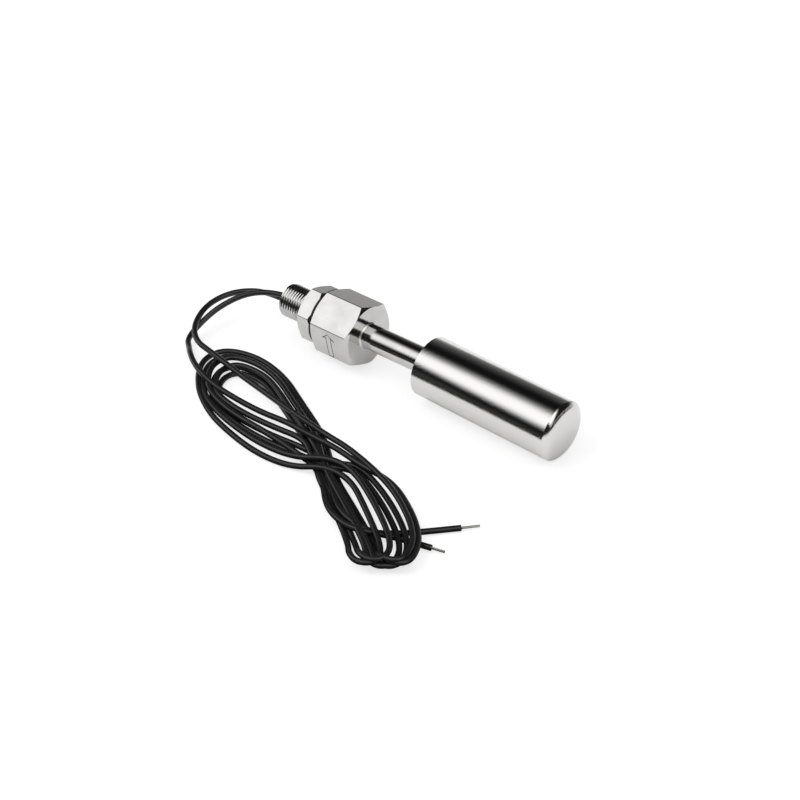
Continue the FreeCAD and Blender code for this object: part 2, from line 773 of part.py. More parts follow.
def inner_wire_routes():
    """Routes of the two wires inside the stem, in the switch's own frame."""
    level = reed_height.value
    side = size("inner_wire_side").value
    slack = size("inner_wire_slack").value
    start = splice_front.value
    groove = size("carrier_start").value
    third = (groove - start) / 3
    beyond = tail_far.value + size("inner_wire_return").value
    offset = lead_offset.value
    first = [(start, 0, offset), (start + third / 2, 0, offset),
             (start + third, -slack, offset), (groove, 0, level), (tail_near.value, 0, level)]
    second = [(start, 0, -offset), (start + third / 2, 0, -offset),
              (start + third, slack, -offset),
              (groove - third, side, level - slack), (groove, side, level),
              (beyond, side, level), (beyond, 0, level), (tail_far.value, 0, level)]
    return {"inner_wire_a": first, "inner_wire_b": second}


inner_wires = []
for label, points in inner_wire_routes().items():
    wire = add_shape(label, wire_tube(label, points, inner_wire_radius))
    wire.Placement = lying
    inner_wires.append(wire)

# Outside, the two leads twist down to the surface, lie folded together in a hank and end
# in two short tails. These points were chosen by hand, in the surface's own frame.
RUN_A = [(-98.0, -9.0, 16.4), (-105.8, -21.5, 11.2), (-108.6, -33.0, 5.0),
         (-106.5, -43.0, 2.7), (-98.0, -50.0, 2.4)]
RUN_B = [(-99.5, -1.0, 13.0), (-109.5, -10.0, 11.9), (-111.6, -24.0, 10.8),
         (-105.5, -39.5, 8.8), (-95.5, -47.5, 6.4)]
TAIL_A = [(60.4, -88.4, 1.4), (69.2, -79.2, 1.4), (78.3, -66.7, 1.4)]
TAIL_B = [(58.5, -88.0, 1.4), (68.2, -87.6, 1.4), (77.6, -85.0, 1.4)]
HANK_OUTLINE = [
    (-101.5, -45.0), (-99.0, -54.0), (-82.0, -66.0), (-64.0, -76.0), (-42.0, -83.5),
    (-15.0, -84.5), (8.0, -80.5), (20.0, -89.5), (38.0, -99.0), (52.0, -110.0),
    (66.0, -116.5), (79.0, -112.5), (82.5, -98.5), (72.0, -82.5), (54.0, -71.0),
    (30.0, -60.5), (4.0, -56.5), (-16.0, -49.5), (-38.0, -39.0), (-60.0, -32.5),
    (-83.0, -30.5), (-93.0, -36.0)]


def make_hank():
    """Outer shape of the two leads folded together in a long loose hank."""
    height = size("hank_height").value
    outline, _ = rounded_route([(x, y, 0) for x, y in HANK_OUTLINE], closed=True)
    block = Part.Face(outline).extrude(FreeCAD.Vector(0, 0, height))
    top = [edge for edge in block.Edges if math.isclose(edge.BoundBox.ZMin, height)]
    return block.makeFillet(size("hank_edge").value, top)


def leaving(height):
    """The straight start of a lead, from its splice to just outside the nipple."""
    ends = (splice_back.value, nipple_end.value - size("lead_straight").value)
    return [tuple(lying.multVec(FreeCAD.Vector(x, 0, height.value))) for x in ends]


def stripped_end(tail, length):
    """Bare conductor that runs straight on from the end of a tail."""
    end = FreeCAD.Vector(*tail[-1])
    along = (end - FreeCAD.Vector(*tail[-2])).normalize()
    return Part.makeCylinder(size("conductor_diameter").value / 2, length.value, end, along)


hank = make_hank()
lead_pieces = [add_shape("lead_hank", hank)]
for label, points in (("lead_a_run", leaving(lead_offset) + RUN_A),
                      ("lead_b_run", leaving(-lead_offset) + RUN_B),
                      ("lead_a_tail", TAIL_A), ("lead_b_tail", TAIL_B)):
    lead_pieces.append(add_shape(label, wire_tube(label, points, lead_radius).cut(hank)))
lead_pieces.append(add_shape("conductor_a", stripped_end(TAIL_A, size("conductor_a_length"))))
lead_pieces.append(add_shape("conductor_b", stripped_end(TAIL_B, size("conductor_b_length"))))
doc.recompute()

# ---------------------------------------------------------------- check and write

for item in doc.Objects:
    if {"Invalid", "Error"} & set(item.State):
        raise RuntimeError(f"{item.Label} was not rebuilt: {item.State}")

# Every hole and cut has to take metal away.
for item in doc.Objects:
    if item.TypeId in ("PartDesign::Pocket", "PartDesign::Groove"):
        if item.Shape.Volume >= item.BaseFeature.Shape.Volume:
            raise RuntimeError(f"{item.Label} cuts nothing")

nodes = switch_pieces + float_pieces + inner_wires + lead_pieces
for node in nodes:
    shape = node.Shape
    if shape.isNull() or not shape.isValid() or len(shape.Solids) != 1:
        raise RuntimeError(f"{node.Label} is not one valid solid")
    shape.exportStep(f"parts/{node.Label}.step")
print(f"{len(nodes)} pieces; the float droops {rest_droop:.2f} degrees")
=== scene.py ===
import json
import math

import bmesh
import bpy
from mathutils import Matrix, Vector


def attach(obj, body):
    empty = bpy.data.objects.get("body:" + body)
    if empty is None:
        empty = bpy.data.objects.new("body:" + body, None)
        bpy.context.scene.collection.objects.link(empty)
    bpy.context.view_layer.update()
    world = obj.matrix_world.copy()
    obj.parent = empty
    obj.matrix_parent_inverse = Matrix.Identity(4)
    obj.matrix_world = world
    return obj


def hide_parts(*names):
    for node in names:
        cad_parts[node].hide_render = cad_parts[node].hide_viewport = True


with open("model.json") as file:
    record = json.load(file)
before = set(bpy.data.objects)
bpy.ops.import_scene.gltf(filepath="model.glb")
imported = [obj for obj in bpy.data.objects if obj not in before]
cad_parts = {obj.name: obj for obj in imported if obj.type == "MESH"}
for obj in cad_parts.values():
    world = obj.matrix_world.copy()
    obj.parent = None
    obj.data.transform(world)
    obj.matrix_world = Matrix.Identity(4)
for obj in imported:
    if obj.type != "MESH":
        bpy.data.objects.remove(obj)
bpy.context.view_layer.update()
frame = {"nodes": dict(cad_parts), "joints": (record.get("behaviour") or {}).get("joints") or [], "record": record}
scene = bpy.context.scene
for name in ("Cube", "Light", "Camera"):
    if name in bpy.data.objects:
        bpy.data.objects.remove(bpy.data.objects[name])

MM = 0.001

# ---------------------------------------------------------------- camera
# A long lens that looks down on the switch from its float end, over the folded leads.

camera = bpy.data.objects.new("camera", bpy.data.cameras.new("camera"))
camera.data.lens = 111.96
camera.location = (0.59403, -0.70200, 0.63977)
camera.rotation_euler = [math.radians(angle) for angle in (54.97, 0, 40.85)]
scene.collection.objects.link(camera)
scene.camera = camera

# ---------------------------------------------------------------- lead wires
# Two leads, each one stranded conductor in extruded black PVC, cast into the nipple's end.
# They run down to the surface and lie folded together in a long loose hank, three times
# round it each; each ends in a tail with its end stripped.

lead_diameter = 2.7

# The straight starts and the loose runs from the nipple to the surface, in millimetres.
run_a = [(-72.67, -0.31, 17.10), (-85.67, -0.31, 16.84), (-98, -9, 16.4),
         (-105.8, -21.5, 11.2), (-108.6, -33, 5.0)]
run_b = [(-72.60, 0.31, 13.86), (-85.60, 0.31, 13.60), (-99.5, -1, 13.0),
         (-109.5, -10, 11.9), (-111.6, -24, 10.8)]

# Where each lead first lies on the hank, from its left end to the start of the far turn.
over_a = [(-106.5, -42, 3.0), (-100.5, -46.9, 3.5), (-94.7, -52, 5.5), (-87.1, -57.1, 6),
          (-77.2, -61.3, 6), (-66.9, -63, 5), (-54.3, -62.6, 3.5), (-40, -62.1, 3),
          (-25.8, -61.2, 4), (-9.1, -64.3, 6.5), (5.5, -64.3, 7), (22.5, -65.9, 6)]
over_b = [(-106.5, -37.5, 8.8), (-98.3, -44.6, 7), (-86.5, -46.7, 7),
          (-75.3, -48.4, 6.5), (-62.9, -50.9, 6.5), (-52.7, -51.2, 5), (-38.7, -53.1, 4.5),
          (-22.1, -56.7, 6), (-3.3, -61, 8), (12.5, -61.1, 7)]

# The tails, from under the crossing to the stripped ends.
tail_a = [(-6.7, -73.5, 2), (3.1, -74.6, 1.4), (14.4, -81.8, 1.4), (23.6, -90.7, 2.5),
          (32.9, -97.2, 4.1), (42.8, -99.4, 4.1), (52.5, -97.2, 4.1), (59.6, -89, 1.8),
          (67.8, -79.5, 1.4), (78.3, -66.7, 1.4)]
tail_b = [(-1.3, -71.7, 2), (8, -74.2, 1.4), (18.1, -80.8, 1.6), (27.2, -88.4, 3),
          (36.4, -94.2, 4.1), (45.5, -96.2, 4.1), (55, -95.1, 3.6), (61.7, -89.5, 1.6),
          (77.6, -85.0, 1.4)]

# The hank's lanes: the inner and the outer edge of each place that the turns pass.
near_side = [((-61.1, -66.8), (-60.6, -75.4)), ((-46.6, -68.8), (-44.4, -80.5)),
             ((-28.2, -68.0), (-22.7, -84.3)), ((-11.1, -65.5), (-4.2, -81.9))]
crossing = [((8.1, -69.1), (9.8, -76.1))]
far_turn = [((24.9, -75.6), (16.3, -58.3)), ((43.5, -87.1), (40.1, -65.3)),
            ((61.3, -99.0), (61.4, -77.1)), ((69.0, -106.6), (73.7, -87.7)),
            ((68.6, -112.6), (79.6, -98.6)), ((63.0, -115.8), (78.4, -104.9)),
            ((57.0, -113.2), (71.5, -107.0))]
inside = [((65.5, -102.3), (50.5, -106.0)), ((53.2, -95.6), (39.2, -98.0)),
          ((33.5, -84.7), (22.1, -87.2)), ((14.1, -74.5), (6.3, -77.5))]
left_turn = [((-9.3, -64.9), (-8.0, -56.0)), ((-32.4, -54.1), (-34.0, -43.2)),
             ((-52.0, -44.3), (-52.9, -33.5)), ((-63.0, -43.0), (-73.3, -29.7)),
             ((-72.0, -44.8), (-89.7, -35.2)), ((-73.6, -53.0), (-91.3, -48.6)),
             ((-67.3, -62.7), (-78.7, -64.2))]


def lane(places, share, height):
    """Points through these places, this share of the way from inner to outer edge."""
    return [(inner[0] + share * (outer[0] - inner[0]),
             inner[1] + share * (outer[1] - inner[1]), height) for inner, outer in places]


# Each step is the places passed, the share of the width and the height of the centreline.
turns_a = [(far_turn[1:], 1.0, 5.4), (inside, 0.0, 1.4), (left_turn, 1.0, 1.4),
           (near_side, 1.0, 1.4), (crossing, 0.9, 5.0), (far_turn, 0.0, 5.4),
           (inside, 1.0, 1.4), (left_turn, 0.3, 1.4), (near_side, 0.45, 1.4),
           (crossing, 0.5, 2.6), (far_turn, 0.5, 3.4), (inside, 0.5, 4.1),
           (left_turn, 0.5, 4.1), (near_side[:3], 0.3, 4.1)]
turns_b = [(far_turn[1:], 0.85, 6.8), (inside, 0.2, 1.4), (left_turn, 0.75, 1.4),
           (near_side, 0.75, 3.4), (crossing, 0.3, 6.8), (far_turn, 0.25, 6.8),
           (inside, 0.75, 1.4), (left_turn, 0.0, 1.4), (near_side, 0.15, 1.4),
           (crossing, 0.1, 2.6), (far_turn, 0.7, 3.4), (inside, 0.35, 4.1),
           (left_turn, 0.15, 4.1), (near_side, 0.0, 4.1)]


def hex_colour(code):
    """Linear colour with alpha from an sRGB hex value."""
    parts = [int(code[i:i + 2], 16) / 255 for i in (1, 3, 5)]
    return [c / 12.92 if c <= 0.04045 else ((c + 0.055) / 1.055) ** 2.4 for c in parts] + [1]


def new_material(name):
    """An empty material with its principled shader."""
    material = bpy.data.materials.new(name)
    material.use_nodes = True
    return material, material.node_tree.nodes["Principled BSDF"]


def add_node(tree, kind, settings=(), **sockets):
    """A node with its settings. A socket goes by its name, or by _ and its number, and takes
    a value or another node's output."""
    node = tree.nodes.new(kind)
    for field, value in dict(settings).items():
        setattr(node, field, value)
    for name, value in sockets.items():
        socket = node.inputs[int(name[1:])] if name[1:].isdigit() else node.inputs[name]
        if isinstance(value, bpy.types.NodeSocket):
            tree.links.new(value, socket)
        else:
            socket.default_value = value
    return node


# Extruded soft PVC, satin black: a broad dull highlight down each strand, a little uneven
# every 1.2 mm from its drag through the die.
pvc, shader = new_material("extruded_black_pvc")
shader.inputs["Base Color"].default_value = hex_colour("#161616")
shader.inputs["Roughness"].default_value = 0.33
shader.inputs["IOR"].default_value = 1.53
place = add_node(pvc.node_tree, "ShaderNodeTexCoord")
drag = add_node(pvc.node_tree, "ShaderNodeTexNoise", Vector=place.outputs["Object"],
                Scale=1 / (1.2 * MM), Detail=3)
ridge = add_node(pvc.node_tree, "ShaderNodeBump", Height=drag.outputs["Fac"],
                 Strength=0.15, Distance=0.05 * MM)
pvc.node_tree.links.new(ridge.outputs["Normal"], shader.inputs["Normal"])


def lead_wire(name, points):
    """One lead as a single smooth spline of its real diameter."""
    curve = bpy.data.curves.new(name, "CURVE")
    curve.dimensions = "3D"
    spline = curve.splines.new("NURBS")
    spline.points.add(len(points) - 1)
    for knot, point in zip(spline.points, points):
        knot.co = [c * MM for c in point] + [1]
    spline.order_u = 3
    spline.use_endpoint_u = True
    curve.resolution_u = 8
    curve.bevel_depth = lead_diameter / 2 * MM
    curve.bevel_resolution = 4
    curve.materials.append(pvc)
    lead = bpy.data.objects.new(name, curve)
    scene.collection.objects.link(lead)
    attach(lead, "root")
    return lead


def folded(turns):
    """All the points of a lead's turns in the hank, one step after the other."""
    return [point for places, share, height in turns for point in lane(places, share, height)]


lead_a = lead_wire("lead_a", run_a + over_a + folded(turns_a) + tail_a)
lead_b = lead_wire("lead_b", run_b + over_b + folded(turns_b) + tail_b)
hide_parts("lead_a_run", "lead_a_tail", "lead_hank")
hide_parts("lead_b_run", "lead_b_tail", "lead_hank")

# ---------------------------------------------------------------- stripped ends
# The bared copper strands of each lead, twisted together by hand and dipped in tin. Their
# tips fray a little.

conductor_diameter = 1.15
strand_count = 7
strand_lay = 5.5
bared_length_a = 8
bared_length_b = 6

# Hot-dipped tin on copper: soft grey metal, its shine broken up by blotches of 0.6 mm.
tin, shader = new_material("tinned_copper_strand")
shader.inputs["Base Color"].default_value = hex_colour("#c9c4ba")
shader.inputs["Metallic"].default_value = 1
shader.inputs["Roughness"].default_value = 0.3
place = add_node(tin.node_tree, "ShaderNodeTexCoord")
blotch = add_node(tin.node_tree, "ShaderNodeTexNoise", Vector=place.outputs["Object"],
                  Scale=1 / (0.6 * MM))
dull = add_node(tin.node_tree, "ShaderNodeMapRange", Value=blotch.outputs["Fac"],
                _3=0.22, _4=0.5)
tin.node_tree.links.new(dull.outputs["Result"], shader.inputs["Roughness"])


def new_piece(name, mesh, material, body="root"):
    """A solid piece from a bmesh, with its material, riding on a body. Edges turned by
    more than 24 degrees stay sharp."""
    data = bpy.data.meshes.new(name)
    bmesh.ops.recalc_face_normals(mesh, faces=mesh.faces)
    mesh.to_mesh(data)
    mesh.free()
    data.shade_smooth()
    data.set_sharp_from_angle(angle=math.radians(24))
    data.materials.append(material)
    piece = bpy.data.objects.new(name, data)
    scene.collection.objects.link(piece)
    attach(piece, body)
    return piece


def skin(rings, hollow=True):
    """A closed skin over rings of points: hollow joins the last ring to the first."""
    mesh = bmesh.new()
    loops = [[mesh.verts.new(point) for point in ring] for ring in rings]
    count = len(loops[0])
    pairs = list(zip(loops, loops[1:])) + ([(loops[-1], loops[0])] if hollow else [])
    for near, far in pairs:
        for i in range(count):
            mesh.faces.new((near[i], near[(i + 1) % count], far[(i + 1) % count], far[i]))
    if not hollow:
        mesh.faces.new(reversed(loops[0]))
        mesh.faces.new(loops[-1])
    return mesh


def twisted_end(name, tail, length):
    """Bundle of strands that runs straight on from a tail, starting inside its covering."""
    start = Vector(tail[-1])
    along = (start - Vector(tail[-2])).normalized()
    side = along.cross(Vector((0, 0, 1))).normalized()
    up = side.cross(along)
    steps = 24
    points_round = strand_count * 6
    rings = []
    for step in range(-3, steps + 1):
        run = length * step / steps
        fray = 1 + 0.12 * max(0, run / length - 0.6)
        ring = []
        for corner in range(points_round):
            angle = 2 * math.pi * corner / points_round
            bulge = abs(math.cos(strand_count * angle / 2))
            radius = conductor_diameter / 2 * fray * (0.72 + 0.28 * bulge)
            turn = angle + 2 * math.pi * run / strand_lay
            point = start + along * run + (side * math.cos(turn) + up * math.sin(turn)) * radius
            ring.append(point * MM)
        rings.append(ring)
    return new_piece(name, skin(rings, hollow=False), tin)


tip_a = twisted_end("stripped_end_a", tail_a, bared_length_a)
tip_b = twisted_end("stripped_end_b", tail_b, bared_length_b)
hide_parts("conductor_a")
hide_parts("conductor_b")

# ---------------------------------------------------------------- hexagon and nipple
# One piece of stainless hexagon bar: a chamfered hexagon with a turned front face, and an
# M16 x 1.5 nipple turned and threaded behind it. An arrow engraved in one flat shows which
# way up the switch is fitted.

hexagon_flats = 28
hexagon_length = 23
thread_diameter = 16
thread_pitch = 1.5
thread_depth = 0.92
nut_back = -33
nipple_end = -49
nipple_bore = 10
stem_radius = 6
chamfer = math.radians(30)
corner_round = 0.45

# The switch's own axes, from the nipple's mount and the float's hinge.
record = frame["record"]
nipple = record["mounts"][0]
hinge = frame["joints"][0]
ahead = -Vector(nipple["axis"]).normalized()
across = -Vector(hinge["axis"]).normalized()
above = ahead.cross(across)
nipple_middle = (nut_back + nipple_end + thread_pitch / 2) / 2 * MM
face_centre = Vector(nipple["pos_m"]) - ahead * nipple_middle
switch_axes = Matrix.Translation(face_centre) @ Matrix((ahead, across, above)).transposed().to_4x4()

# Turned and lightly polished stainless steel: bright, and clouded by handling in patches
# of about 9 mm, where it is a little duller and warmer.
steel, shader = new_material("turned_stainless_steel")
shader.inputs["Metallic"].default_value = 1
place = add_node(steel.node_tree, "ShaderNodeTexCoord")
smear = add_node(steel.node_tree, "ShaderNodeTexNoise", Vector=place.outputs["Object"],
                 Scale=1 / (9 * MM), Detail=4)
cloud = add_node(steel.node_tree, "ShaderNodeMapRange", Value=smear.outputs["Fac"],
                 _3=0.07, _4=0.19)
steel.node_tree.links.new(cloud.outputs["Result"], shader.inputs["Roughness"])
tint = add_node(steel.node_tree, "ShaderNodeMix", {"data_type": "RGBA"},
                Factor=smear.outputs["Fac"], _6=hex_colour("#dededd"), _7=hex_colour("#bcbab7"))
steel.node_tree.links.new(tint.outputs[2], shader.inputs["Base Color"])


def turned_rings(profile, steps=96):
    """Rings of points about the switch's axis from a profile of (station, radius)."""
    rings = []
    for station, radius in profile:
        rings.append([Vector((station, radius * math.cos(2 * math.pi * i / steps),
                              radius * math.sin(2 * math.pi * i / steps))) * MM
                      for i in range(steps)])
    return rings


def hexagon_rings(flats, front, back, hole):
    """Rings of a hexagon with both faces chamfered and its six corners just broken."""
    apothem = flats / 2
    corner_centre = (apothem - corner_round) / math.cos(math.pi / 6)
    round_ends = math.atan2(corner_round / 2, corner_centre + corner_round * math.cos(math.pi / 6))
    rings = [[] for _ in range(6)]
    for flat in range(6):
        for step in range(-16, 16):
            share = step / 16
            if abs(share) < 0.8:
                off_flat = share / 0.8 * (math.pi / 6 - round_ends)
                edge = apothem / math.cos(off_flat)
            else:
                off_corner = (1 - abs(share)) / 0.2 * round_ends
                off_flat = math.copysign(math.pi / 6 - off_corner, share)
                edge = (corner_centre * math.cos(off_corner) + math.sqrt(
                    corner_round ** 2 - (corner_centre * math.sin(off_corner)) ** 2))
            angle = flat * math.pi / 3 + off_flat
            depth = (edge - apothem) * math.tan(chamfer)
            stations = [(front, hole), (front, apothem), (front - depth, edge),
                        (back + depth, edge), (back, apothem), (back, hole)]
            for ring, (station, radius) in zip(rings, stations):
                ring.append(Vector((station, radius * math.cos(angle),
                                    radius * math.sin(angle))) * MM)
    return rings


def in_place(piece, axes):
    """Put a piece that was drawn about its own axis where it belongs."""
    piece.data.transform(axes)
    return piece


hexagon = new_piece("hexagon", skin(hexagon_rings(
    hexagon_flats, 0, -hexagon_length, stem_radius)), steel)
in_place(hexagon, switch_axes)


def thread_radius(station, angle):
    """Radius of the thread at a station and an angle: a flat crest over 0.14 of the pitch,
    flanks of 0.33 of it and a chamfered start."""
    phase = (station / thread_pitch - angle / (2 * math.pi)) % 1
    flank = min(1, max(0, (abs(phase - 0.5) - 0.07) / 0.33))
    lead_in = thread_diameter / 2 - max(0, nipple_end + thread_pitch / 2 - station)
    return min(thread_diameter / 2 - thread_depth * flank, lead_in)


columns = 96
rows_per_pitch = 6
crests = int((nut_back - nipple_end) / thread_pitch) + 2
rings = []
for row in range(-1, crests * rows_per_pitch + 1):
    ring = []
    for i in range(columns):
        angle = 2 * math.pi * i / columns
        station = nipple_end + thread_pitch * (row / rows_per_pitch + i / columns - 1)
        station = min(max(station, nipple_end), nut_back)
        radius = thread_radius(station, angle)
        ring.append(Vector((station, radius * math.cos(angle), radius * math.sin(angle))) * MM)
    rings.append(ring)
root_radius = thread_diameter / 2 - thread_depth
rings += turned_rings([(nut_back, root_radius), (-hexagon_length, root_radius),
                       (-hexagon_length, nipple_bore / 2), (nipple_end, nipple_bore / 2)])
threaded_nipple = in_place(new_piece("threaded_nipple", skin(rings), steel), switch_axes)

# The arrow is a fine engraved line round its outline, where the steel is dull and brown. It
# is drawn 0.01 mm proud of the flat instead of cut into it.
cut, shader = new_material("oxidised_engraving")
shader.inputs["Base Color"].default_value = hex_colour("#6b625a")
shader.inputs["Metallic"].default_value = 1
shader.inputs["Roughness"].default_value = 0.6
arrow_middle = -12
arrow_side = -hexagon_flats / 2 - 0.01
arrow_outline = [(0, 5.6), (3.4, 2.7), (1.4, 3.6), (1.4, -7.3), (-1.4, -7.3), (-1.4, 3.6),
                 (-3.4, 2.7)]
line_width = 0.35
mesh = bmesh.new()
for here, there in zip(arrow_outline, arrow_outline[1:] + arrow_outline[:1]):
    start, end = Vector(here), Vector(there)
    along = (end - start).normalized() * line_width / 2
    square = Vector((-along.y, along.x))
    corners = [start - along - square, end + along - square, end + along + square,
               start - along + square]
    mesh.faces.new([mesh.verts.new(Vector((arrow_middle + u, arrow_side, v)) * MM)
                    for u, v in corners])
arrow = in_place(new_piece("engraved_arrow", mesh, cut), switch_axes)
arrow.data.shade_flat()
for piece in (hexagon, threaded_nipple, arrow):
    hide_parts("hex_body")

# ---------------------------------------------------------------- sealing gasket
# Flat ring of moulded black nitrile rubber with rounded edges, slipped over the nipple and
# held against the hexagon by the nut.

gasket_diameter = 27
gasket_thickness = 2
gasket_corner = 0.4
corner_middle = 0.12
gasket_clearance = 0.05

# Moulded nitrile rubber: matt black, with pits of 0.4 mm that dull it.
nitrile, shader = new_material("moulded_nitrile_rubber")
shader.inputs["Base Color"].default_value = hex_colour("#0b0b0b")
shader.inputs["Roughness"].default_value = 0.6
shader.inputs["IOR"].default_value = 1.52
place = add_node(nitrile.node_tree, "ShaderNodeTexCoord")
grain = add_node(nitrile.node_tree, "ShaderNodeTexNoise", Vector=place.outputs["Object"],
                 Scale=1 / (0.4 * MM))
pits = add_node(nitrile.node_tree, "ShaderNodeBump", Height=grain.outputs["Fac"],
                Strength=0.2, Distance=0.03 * MM)
nitrile.node_tree.links.new(pits.outputs["Normal"], shader.inputs["Normal"])

gasket_rear = -hexagon_length - gasket_thickness
gasket_hole = thread_diameter / 2 + gasket_clearance
gasket_rim = gasket_diameter / 2
gasket = new_piece("gasket", skin(turned_rings([
    (gasket_rear, gasket_hole), (gasket_rear, gasket_rim - gasket_corner),
    (gasket_rear + corner_middle, gasket_rim - corner_middle),
    (gasket_rear + gasket_corner, gasket_rim), (-hexagon_length - gasket_corner, gasket_rim),
    (-hexagon_length - corner_middle, gasket_rim - corner_middle),
    (-hexagon_length, gasket_rim - gasket_corner), (-hexagon_length, gasket_hole)])), nitrile)
in_place(gasket, switch_axes)
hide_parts("sealing_gasket")

# ---------------------------------------------------------------- lock nut
# Thin hexagon nut of the same stainless bar, with a turned chamfer on both faces. It is
# screwed up to the gasket.

nut_flats = 24
nut_clearance = 0.1

nut = new_piece("nut", skin(hexagon_rings(
    nut_flats, gasket_rear, nut_back, thread_diameter / 2 + nut_clearance)), steel)
in_place(nut, switch_axes)
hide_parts("lock_nut")

# ---------------------------------------------------------------- stem and weld
# Drawn stainless tube pushed into the hexagon and joined to it by a thin bead; the pin that
# the float swings on crosses its far end inside the float.

stem_seat = 8
stem_end = 56.5
stem_bore = stem_radius - 1

stem = new_piece("stem", skin(turned_rings([
    (-stem_seat, stem_radius), (stem_end, stem_radius), (stem_end, stem_bore),
    (-stem_seat, stem_bore)], steps=128)), steel)
in_place(stem, switch_axes)
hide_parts("stem_tube")

# Fusion weld without filler: paler than the bar but less shiny, with ripples of 0.5 mm.
bead, shader = new_material("bright_weld_bead")
shader.inputs["Base Color"].default_value = hex_colour("#e8e4de")
shader.inputs["Metallic"].default_value = 1
shader.inputs["Roughness"].default_value = 0.3
place = add_node(bead.node_tree, "ShaderNodeTexCoord")
ripple = add_node(bead.node_tree, "ShaderNodeTexNoise", Vector=place.outputs["Object"],
                  Scale=1 / (0.5 * MM))
swell = add_node(bead.node_tree, "ShaderNodeBump", Height=ripple.outputs["Fac"],
                 Strength=0.3, Distance=0.05 * MM)
bead.node_tree.links.new(swell.outputs["Normal"], shader.inputs["Normal"])
# The bead's section: stations before the hexagon's face and heights over the tube.
bead_outline = [(0, 0), (0, 0.6), (0.18, 0.32), (0.32, 0.18), (0.6, 0)]
weld = new_piece("weld", skin(turned_rings([
    (station, stem_radius + height) for station, height in bead_outline])), bead)
in_place(weld, switch_axes)
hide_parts("stem_weld")

# ---------------------------------------------------------------- float
# Thin stainless tube with a pressed front cap and a back plate, welded tight. It hangs on
# the pin by two blocks inside, and droops until its front rim lies on the surface.

float_radius = 14
float_length = 73
shell_bore = float_radius - 0.4
shell_edge = 0.2
dome_height = 3
crown_radius = 60
shoulder_radius = 7
cap_wall = 0.5
cap_skirt = 4
inner_fit = shell_bore - 0.05
plate_thickness = 0.6
opening_radius = 9.17
pin_inset = 8
float_droop = math.radians(2.63)

# At rest the float lies on the table, where it points a little lower than the stem.
float_ahead = ahead * math.cos(float_droop) - above * math.sin(float_droop)
float_above = float_ahead.cross(across)
float_rear = Vector(hinge["pos_m"]) - float_ahead * pin_inset * MM
float_axes = (Matrix.Translation(float_rear)
              @ Matrix((float_ahead, across, float_above)).transposed().to_4x4())

# Electropolished stainless sheet: a neutral mirror, broken up by an orange peel of 0.5 mm,
# which is drawn coarser than real so that it shows.
polished, shader = new_material("electropolished_stainless_sheet")
shader.inputs["Base Color"].default_value = hex_colour("#dcdbda")
shader.inputs["Metallic"].default_value = 1
shader.inputs["Roughness"].default_value = 0.07
place = add_node(polished.node_tree, "ShaderNodeTexCoord")
peel = add_node(polished.node_tree, "ShaderNodeTexNoise", Vector=place.outputs["Object"],
                Scale=1 / (0.5 * MM), Detail=2)
waves = add_node(polished.node_tree, "ShaderNodeBump", Height=peel.outputs["Fac"],
                 Strength=1.0, Distance=0.045 * MM)
polished.node_tree.links.new(waves.outputs["Normal"], shader.inputs["Normal"])

shell = new_piece("shell", skin(turned_rings([
    (0, float_radius - shell_edge), (0.3 * shell_edge, float_radius - 0.3 * shell_edge),
    (shell_edge, float_radius), (float_length - 0.1, float_radius),
    (float_length, float_radius - 0.08), (float_length, shell_bore), (0, shell_bore)],
    steps=160)), polished, "float")
in_place(shell, float_axes)
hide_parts("float_shell")

def arc_profile(centre, radius, start, end, steps):
    """Points of an arc about (station, radius); angles in degrees from the axis."""
    angles = [math.radians(start + (end - start) * i / steps) for i in range(steps + 1)]
    return [(centre[0] + radius * math.cos(angle), centre[1] + radius * math.sin(angle))
            for angle in angles]


# The cap is pressed: a shallow crown, and a shoulder that runs on from it to the shell's rim.
# The shoulder's centre and its two angles, in degrees, are rounded.
crown_centre = (float_length + dome_height - crown_radius, 0)
shoulder_centre = (68.26, 8.84)
shoulder_start, crown_start = 47.4, 9.61
outside = (arc_profile(shoulder_centre, shoulder_radius, shoulder_start, crown_start, 12)
           + arc_profile(crown_centre, crown_radius, crown_start, 0.05, 16)[1:])
within = [(station - cap_wall, max(radius - cap_wall / 2, 0.01))
          for station, radius in reversed(outside)]
skirt_end = float_length - cap_skirt
front_cap = new_piece("front_cap", skin(turned_rings(
    outside + within[:-1] + [(skirt_end, shell_bore - cap_wall), (skirt_end, inner_fit),
                             (float_length, inner_fit)], steps=160)), polished, "float")
in_place(front_cap, float_axes)
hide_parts("float_front_cap")

back_plate = new_piece("back_plate", skin(turned_rings([
    (0, opening_radius), (0, inner_fit), (plate_thickness, inner_fit),
    (plate_thickness, opening_radius)], steps=128)), polished, "float")
in_place(back_plate, float_axes)
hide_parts("float_back_plate")


def finish_nodes(material, *names):
    """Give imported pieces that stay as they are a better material."""
    for name in names:
        data = frame["nodes"][name].data
        data.materials.clear()
        data.materials.append(material)


# The closed pocket inside, its bearing blocks and the magnet's saddle are of the float's
# sheet, and the pin and the stem's end cap of the same bar as the hexagon.
finish_nodes(polished, "float_pocket", "float_bearing_left", "float_bearing_right",
             "magnet_holder")
finish_nodes(steel, "stem_end_cap", "hinge_pin")

# ---------------------------------------------------------------- reed switch and wiring
# Inside the stem a glass reed switch lies in a moulded carrier over the pin; two fine wires
# run back to crimped splices, and cast resin seals them in the nipple. A bar magnet in the
# float works it.

# Drawn soda-lime glass: clear, faintly green and very smooth.
glass, shader = new_material("soda_lime_glass")
shader.inputs["Base Color"].default_value = hex_colour("#dfeee6")
shader.inputs["Roughness"].default_value = 0.02
shader.inputs["IOR"].default_value = 1.52
shader.inputs["Transmission Weight"].default_value = 1
finish_nodes(glass, "reed_glass")


